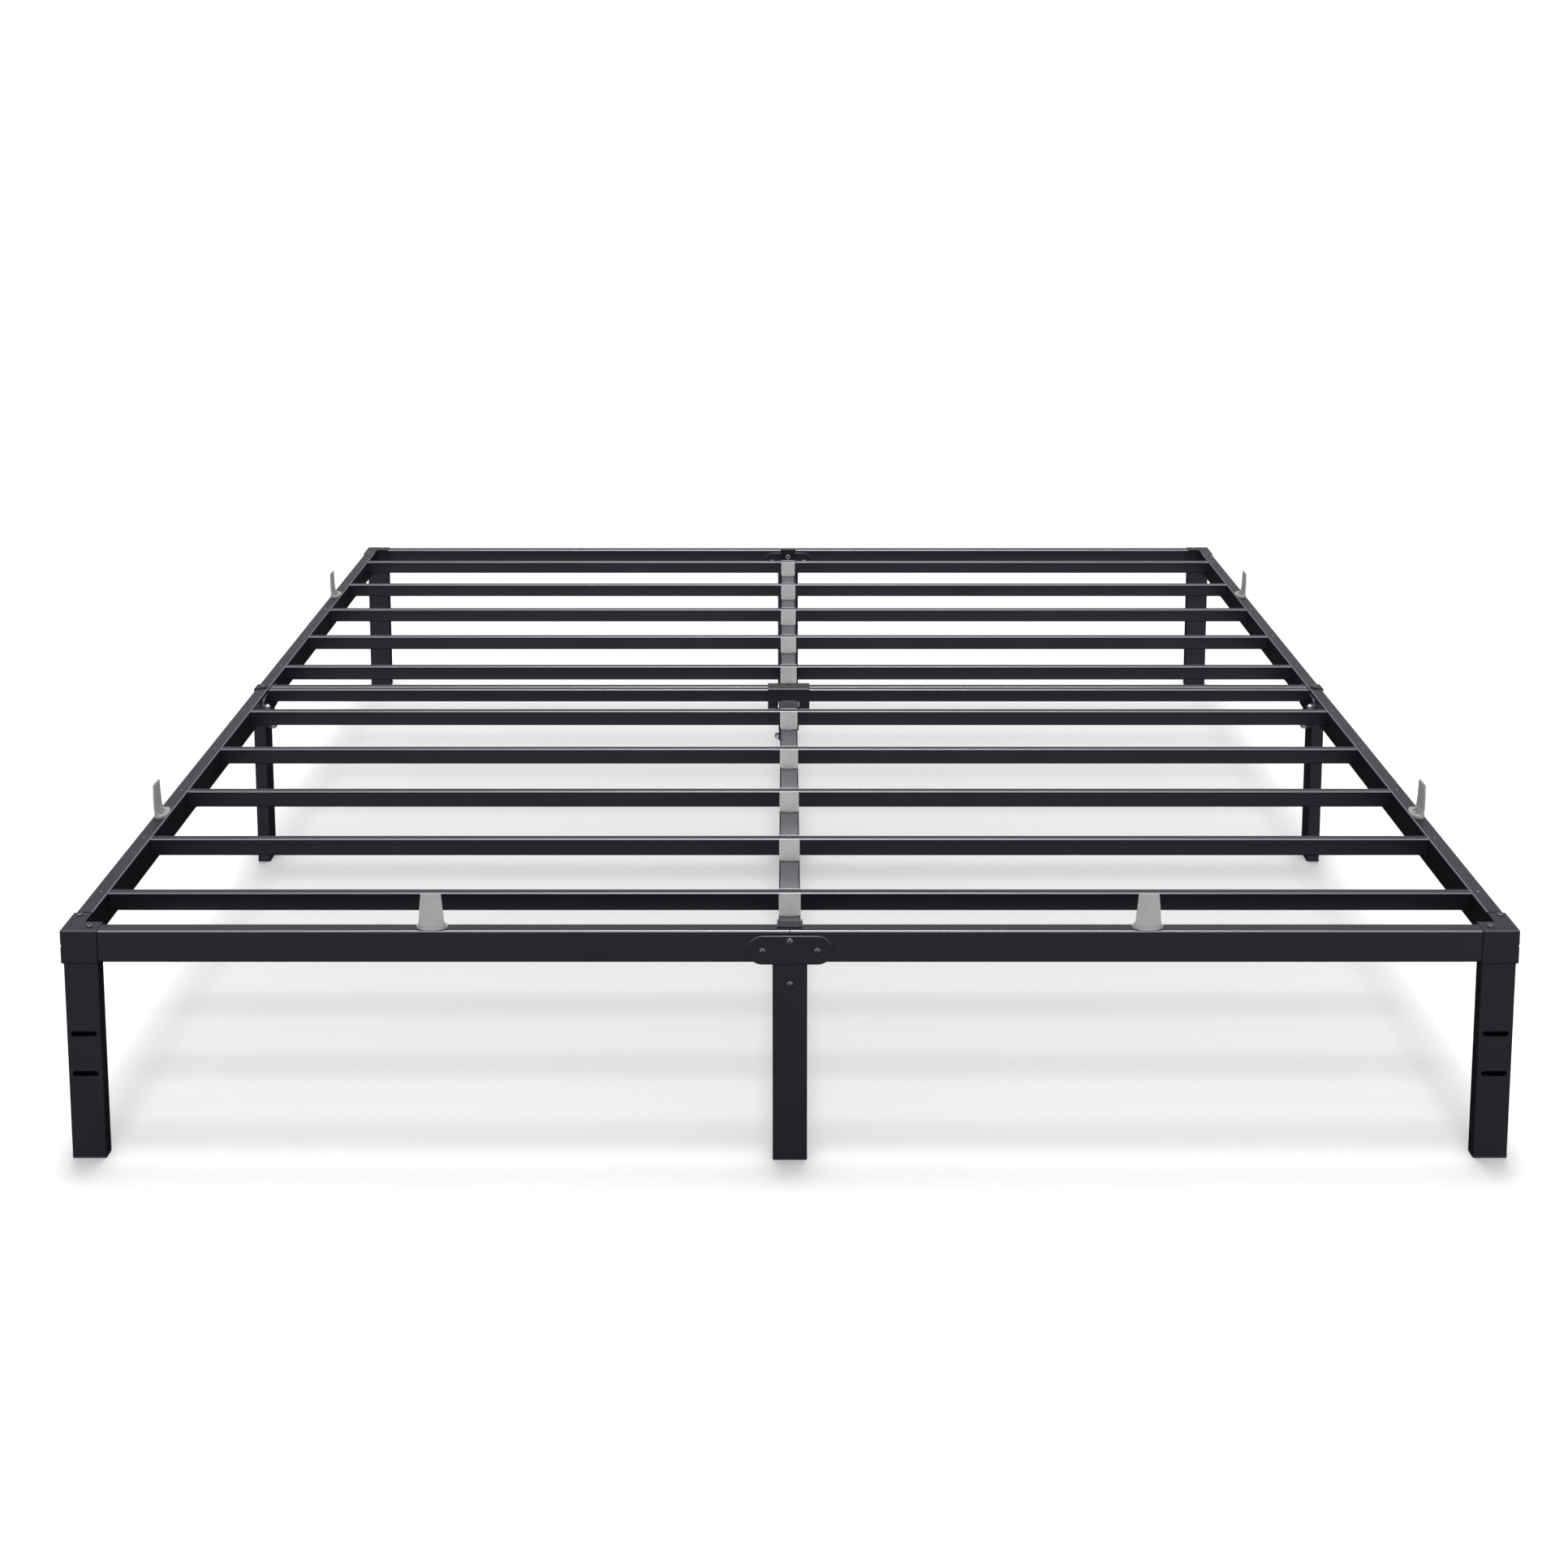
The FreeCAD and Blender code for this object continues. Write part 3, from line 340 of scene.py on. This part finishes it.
def rounded_rectangle(half_across, half_up, radius):
    """Places one bead step apart round a rounded rectangle, each with its outward direction."""
    places = []
    corner_signs = ((1, 1), (-1, 1), (-1, -1), (1, -1))
    centres = [Vector((across * (half_across - radius), up * (half_up - radius)))
               for across, up in corner_signs]
    arc_steps = math.ceil(radius * QUARTER_TURN / BEAD_STEP)
    for index, centre in enumerate(centres):
        for step in range(arc_steps):
            angle = QUARTER_TURN * (index + step / arc_steps)
            outward = Vector((math.cos(angle), math.sin(angle)))
            places.append((centre + radius * outward, outward))
        next_centre = centres[(index + 1) % len(centres)]
        angle = QUARTER_TURN * (index + 1)
        outward = Vector((math.cos(angle), math.sin(angle)))
        side_steps = math.ceil((next_centre - centre).length / BEAD_STEP)
        for step in range(side_steps):
            places.append((centre.lerp(next_centre, step / side_steps) + radius * outward, outward))
    return places


def weld_bead(centre, across, up, half_across, half_up):
    """The rippled bead round a tube's end. The tube's section lies along the two directions given."""
    along = across.cross(up)
    sections = []
    for count, (place, outward) in enumerate(rounded_rectangle(half_across, half_up, TUBE_CORNER)):
        ripple = math.sin(FULL_TURN * count * BEAD_STEP / BEAD_PITCH)
        radius = BEAD_RADIUS * (1.0 + BEAD_RIPPLE * ripple)
        middle = centre + across * place[0] + up * place[1]
        outside = across * outward[0] + up * outward[1]
        section = []
        for side in range(BEAD_SIDES):
            angle = FULL_TURN * side / BEAD_SIDES
            section.append(middle + radius * (math.cos(angle) * outside + math.sin(angle) * along))
        sections.append(section)
    return sections


def make_leg_welds():
    """A bead round the top of each corner leg, under its bracket."""
    bands = []
    for end in ("head", "foot"):
        for side in ("left", "right"):
            low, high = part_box("corner_leg_" + end + "_" + side)
            middle = (low + high) / 2
            top = Vector((middle[0], middle[1], high[2]))
            bands.append(weld_bead(top, X_AXIS, Y_AXIS, high[0] - middle[0], high[1] - middle[1]))
    fine_piece("corner_leg_weld_beads", bands, "bracket_paint")


def make_beam_welds():
    """A bead round each end of the beam's tubes, at the hook's plate and at the end plate."""
    bands = []
    for end, towards_middle in (("head", 1), ("foot", -1)):
        low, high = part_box("center_beam_" + end)
        outer_y, inner_y = (low[1], high[1]) if towards_middle == 1 else (high[1], low[1])
        for y in (outer_y, inner_y - towards_middle * END_PLATE_THICKNESS):
            centre = Vector(((low[0] + high[0]) / 2, y, low[2] + BEAM_SIZE / 2))
            bands.append(weld_bead(centre, X_AXIS, Z_AXIS, BEAM_SIZE / 2, BEAM_SIZE / 2))
    fine_piece("beam_weld_beads", bands, "beam_paint")


# --- Nut collars and threads --------------------------------------------------------------------------
BOLT_RADIUS = 3.0 * MILLIMETRE
THREAD_PITCH = 1.0 * MILLIMETRE
THREAD_DEPTH = 0.16 * MILLIMETRE
THREAD_ROWS_PER_PITCH = 6
THREAD_LEAD = 0.5 * MILLIMETRE        # the thread stops this short of the bolt's tip
COLLAR_RADIUS = 4.5 * MILLIMETRE
COLLAR_HEIGHT = 1.2 * MILLIMETRE
COLLAR_ROUNDING = 0.4 * MILLIMETRE
COLLAR_GAP = 0.1 * MILLIMETRE         # between a nut's collar and the bolt
SAME_POINT = 0.001 * MILLIMETRE
TURN_STEPS = 32


def solid_boxes(node):
    """The low and the high corner of each separate solid of a CAD node."""
    mesh = bmesh.new()
    mesh.from_mesh(nodes[node].data)
    mesh.transform(nodes[node].matrix_world)
    bmesh.ops.remove_doubles(mesh, verts=mesh.verts, dist=SAME_POINT)
    seen = set()
    boxes = []
    for first in mesh.verts:
        if first in seen:
            continue
        seen.add(first)
        group = [first]
        for vert in group:
            for edge in vert.link_edges:
                other = edge.other_vert(vert)
                if other not in seen:
                    seen.add(other)
                    group.append(other)
        low = Vector([min(vert.co[axis] for vert in group) for axis in range(3)])
        high = Vector([max(vert.co[axis] for vert in group) for axis in range(3)])
        boxes.append((low, high))
    mesh.free()
    return boxes


def holds(box, point):
    low, high = box
    return all(low[axis] < point[axis] < high[axis] for axis in range(3))


def nut_places():
    """For each lock nut: the middle of its outer face, the way it faces, and how far its bolt stands out."""
    bolts = solid_boxes("bracket_bolts") + solid_boxes("beam_joint_bolts")
    places = []
    for low, high in solid_boxes("lock_nuts"):
        middle = (low + high) / 2
        size = high - low
        axis = min(range(3), key=lambda index: size[index])
        bolt_low, bolt_high = [bolt for bolt in bolts if holds(bolt, middle)][0]
        bolt_middle = (bolt_low[axis] + bolt_high[axis]) / 2
        way, face, tip = (1, high, bolt_high) if middle[axis] > bolt_middle else (-1, low, bolt_low)
        place = middle.copy()
        place[axis] = face[axis]
        outward = Vector((0.0, 0.0, 0.0))
        outward[axis] = way
        places.append((place, outward, abs(tip[axis] - face[axis])))
    return places


def turned_band(place, outward, profile):
    """A ring about an axis. The profile gives its (radius, height) points at a part of a turn."""
    side = outward.orthogonal().normalized()
    beside = outward.cross(side)
    sections = []
    for step in range(TURN_STEPS):
        turn = step / TURN_STEPS
        spoke = side * math.cos(FULL_TURN * turn) + beside * math.sin(FULL_TURN * turn)
        sections.append([place + radius * spoke + height * outward for radius, height in profile(turn)])
    return sections


def collar_profile(turn):
    """The round collar that holds a lock nut's nylon ring: the same all round."""
    inner = BOLT_RADIUS + COLLAR_GAP
    part_way = 0.3 * COLLAR_ROUNDING
    return [(inner, -COLLAR_GAP),
            (COLLAR_RADIUS, -COLLAR_GAP),
            (COLLAR_RADIUS, COLLAR_HEIGHT - COLLAR_ROUNDING),
            (COLLAR_RADIUS - part_way, COLLAR_HEIGHT - part_way),
            (COLLAR_RADIUS - COLLAR_ROUNDING, COLLAR_HEIGHT),
            (inner + COLLAR_ROUNDING, COLLAR_HEIGHT),
            (inner, COLLAR_HEIGHT - COLLAR_ROUNDING)]


def thread_profile(length):
    """The profile of a helical thread of that length: its ridges climb one pitch in a turn."""
    rows = round(length / THREAD_PITCH * THREAD_ROWS_PER_PITCH)

    def profile(turn):
        points = []
        for row in range(rows + 1):
            phase = (row / THREAD_ROWS_PER_PITCH - turn) % 1.0
            ridge = 1.0 - abs(2.0 * phase - 1.0)
            points.append((BOLT_RADIUS + THREAD_DEPTH * ridge, length * row / rows))
        inner = BOLT_RADIUS - THREAD_DEPTH
        points.append((inner, length))
        points.append((inner, 0.0))
        return points

    return profile


def make_nut_details():
    """A collar on each lock nut, and the thread on the end of the bolt that stands out of it."""
    collars = []
    threads = []
    for place, outward, reach in nut_places():
        collars.append(turned_band(place, outward, collar_profile))
        threads.append(turned_band(place, outward, thread_profile(reach - THREAD_LEAD)))
    fine_piece("lock_nut_collars", collars, "zinc_nuts")
    fine_piece("bolt_threads", threads, "black_fasteners")


make_leg_welds()
make_beam_welds()
make_nut_details()


# --- Floor --------------------------------------------------------------------------------------------
# The floor is a little darker inside the bed's outline, as in the soft shadow of the whole bed.
FLOOR_HALF_SIZE = 40.0
FLOOR_ALBEDO = 0.98
FLOOR_ROUGHNESS = 0.9
SHADE_ALBEDO = 0.76
SHADE_EDGE = 0.055                    # half the width of the soft step at the outline


def between(shader, value, low, high):
    """1 between two places, 0 outside them, with a soft step across each."""
    rise = shader.spread(value, 0.0, 1.0, low - SHADE_EDGE, low + SHADE_EDGE)
    fall = shader.spread(value, 1.0, 0.0, high - SHADE_EDGE, high + SHADE_EDGE)
    return shader.combine("MULTIPLY", rise, fall)


def floor_material():
    shader = Shader("pale_floor")
    split = shader.add("ShaderNodeSeparateXYZ")
    shader.join(shader.place, split.inputs[0])
    low, high = cad_box
    inside = shader.combine("MULTIPLY", between(shader, split.outputs["X"], low[0], high[0]),
                            between(shader, split.outputs["Y"], low[1], high[1]))
    surface = shader.surface.inputs
    shader.join(shader.mix_color(inside, (FLOOR_ALBEDO,) * 3, (SHADE_ALBEDO,) * 3), surface["Base Color"])
    surface["Roughness"].default_value = FLOOR_ROUGHNESS
    surface["Specular IOR Level"].default_value = 0.0
    return shader.material


def make_floor():
    """A plain level floor. Reflections in the bed don't see it; they see the world's lower half."""
    signs = ((-1, -1), (1, -1), (1, 1), (-1, 1))
    corners = [(x * FLOOR_HALF_SIZE, y * FLOOR_HALF_SIZE, 0) for x, y in signs]
    mesh = bpy.data.meshes.new("floor")
    mesh.from_pydata(corners, [], [(0, 1, 2, 3)])
    mesh.materials.append(floor_material())
    floor = bpy.data.objects.new("floor", mesh)
    scene.collection.objects.link(floor)
    floor.visible_glossy = False


# --- Light --------------------------------------------------------------------------------------------
# The world's light by direction, as (direction's part along one axis, level) pairs. The sky is dim at the
# horizon and even above, with a softbox in front of the bed. Below the horizon only reflections see it: a
# dim studio, brightest in front of the bed and near the horizon.
WHITE = (1.0, 1.0, 1.0)
SKY_LEVELS = ((0.0, 0.05), (0.22, 0.42), (0.38, 1.12), (0.6, 0.90), (1.0, 0.62))
SKY_TINT = (0.99, 0.99, 1.03)
SOFTBOX_TOWARDS = (0.0, -0.743, 0.669)
SOFTBOX_LEVELS = ((-1.0, 0.0), (0.975, 0.0), (0.985, 4.0), (1.0, 4.0))
STUDIO_LEVELS = ((-1.0, 1.0), (-0.6, 0.62), (-0.2, 0.25), (0.3, 0.08), (0.6, 0.03), (1.0, 0.02))
STUDIO_TINT = (0.97, 0.98, 1.10)
DEPTH_LEVELS = ((-1.0, 0.04), (-0.6, 0.06), (-0.45, 0.17), (-0.38, 0.40), (-0.32, 0.75), (-0.25, 1.9),
                (-0.12, 2.8), (0.0, 3.2))
HORIZON_EDGE = 0.04                   # how softly the lower half meets the sky

KEY_STRENGTH = 1.28
KEY_COLOR = (1.03, 1.02, 0.95)
KEY_ANGLE = 15.0                      # degrees across, which makes its shadows soft
KEY_LEAN = -12.0                      # degrees from straight above, towards the foot end


class WorldTree:
    """The world's node tree, with short calls that add and join nodes."""

    def __init__(self, name):
        scene.world = bpy.data.worlds.new(name)
        scene.world.use_nodes = True
        self.tree = scene.world.node_tree
        self.background = self.tree.nodes["Background"]
        self.direction = self.tree.nodes.new("ShaderNodeTexCoord").outputs["Generated"]

    def join(self, source, target):
        self.tree.links.new(source, target)

    def levels(self, value, stops, tint):
        """A colour ramp over -1 to 1, from (place, level) stops."""
        spread = self.tree.nodes.new("ShaderNodeMapRange")
        spread.inputs["From Min"].default_value = -1.0
        self.join(value, spread.inputs["Value"])
        ramp = self.tree.nodes.new("ShaderNodeValToRGB")
        self.join(spread.outputs["Result"], ramp.inputs["Fac"])
        elements = ramp.color_ramp.elements
        while len(elements) < len(stops):
            elements.new(1.0)
        for element, (place, level) in zip(elements, stops):
            element.position = (place + 1.0) / 2.0
            element.color = (*[level * channel for channel in tint], 1.0)
        return ramp.outputs["Color"]

    def blend(self, kind, color_a, color_b):
        """Two colours blended at full strength."""
        node = self.tree.nodes.new("ShaderNodeMix")
        node.data_type = "RGBA"
        node.blend_type = kind
        node.inputs["Factor"].default_value = 1.0
        for socket, color in zip(color_sockets(node.inputs), (color_a, color_b)):
            self.join(color, socket)
        return color_sockets(node.outputs)[0]

    def choose(self, factor, color_a, color_b):
        """The first colour where the factor is 0, the second, a socket or a colour, where it is 1."""
        node = self.tree.nodes.new("ShaderNodeMix")
        node.data_type = "RGBA"
        self.join(factor, node.inputs["Factor"])
        socket_a, socket_b = color_sockets(node.inputs)
        self.join(color_a, socket_a)
        if isinstance(color_b, tuple):
            socket_b.default_value = (*color_b, 1.0)
        else:
            self.join(color_b, socket_b)
        return color_sockets(node.outputs)[0]


def make_world():
    """White behind the object; its light is a soft sky, and below the horizon a dim studio."""
    world = WorldTree("studio")
    split = world.tree.nodes.new("ShaderNodeSeparateXYZ")
    world.join(world.direction, split.inputs[0])
    sky = world.levels(split.outputs["Z"], SKY_LEVELS, SKY_TINT)
    studio = world.levels(split.outputs["Y"], STUDIO_LEVELS, STUDIO_TINT)
    depth = world.levels(split.outputs["Z"], DEPTH_LEVELS, WHITE)
    below = world.blend("MULTIPLY", studio, depth)
    towards = world.tree.nodes.new("ShaderNodeVectorMath")
    towards.operation = "DOT_PRODUCT"
    world.join(world.direction, towards.inputs[0])
    towards.inputs[1].default_value = SOFTBOX_TOWARDS
    softbox = world.levels(towards.outputs["Value"], SOFTBOX_LEVELS, WHITE)
    above = world.blend("ADD", sky, softbox)
    horizon = world.tree.nodes.new("ShaderNodeMapRange")
    horizon.inputs["From Min"].default_value = -HORIZON_EDGE
    horizon.inputs["From Max"].default_value = HORIZON_EDGE
    world.join(split.outputs["Z"], horizon.inputs["Value"])
    light = world.choose(horizon.outputs["Result"], below, above)
    path = world.tree.nodes.new("ShaderNodeLightPath")
    seen = world.choose(path.outputs["Is Camera Ray"], light, WHITE)
    world.join(seen, world.background.inputs["Color"])
    world.background.inputs["Strength"].default_value = 1.0


def make_key_light():
    """One broad, soft light from above, a little from behind the foot end."""
    light = bpy.data.lights.new("key", "SUN")
    light.energy = KEY_STRENGTH
    light.color = KEY_COLOR
    light.angle = math.radians(KEY_ANGLE)
    lamp = bpy.data.objects.new("key", light)
    lamp.rotation_euler = (math.radians(KEY_LEAN), 0.0, 0.0)
    scene.collection.objects.link(lamp)


# --- Camera -------------------------------------------------------------------------------------------
SENSOR_WIDTH = 36.0
LENS = 47.19
LENS_SHIFT = (-0.0009, -0.31)         # downwards, so the camera needs less tilt
CAMERA_PLACE = (-0.0059, -3.5991, 1.5002)
CAMERA_TILT = 7.42                    # degrees below level
VIEW_REACH = 100.0


def make_camera():
    data = bpy.data.cameras.new("camera")
    data.sensor_width = SENSOR_WIDTH
    data.lens = LENS
    data.shift_x, data.shift_y = LENS_SHIFT
    data.clip_end = VIEW_REACH
    camera = bpy.data.objects.new("camera", data)
    camera.location = CAMERA_PLACE
    camera.rotation_euler = (math.radians(90.0 - CAMERA_TILT), 0.0, 0.0)
    scene.collection.objects.link(camera)
    scene.camera = camera


make_floor()
make_world()
make_key_light()
make_camera()
scene.view_settings.view_transform = "Standard"
scene.view_settings.look = "None"
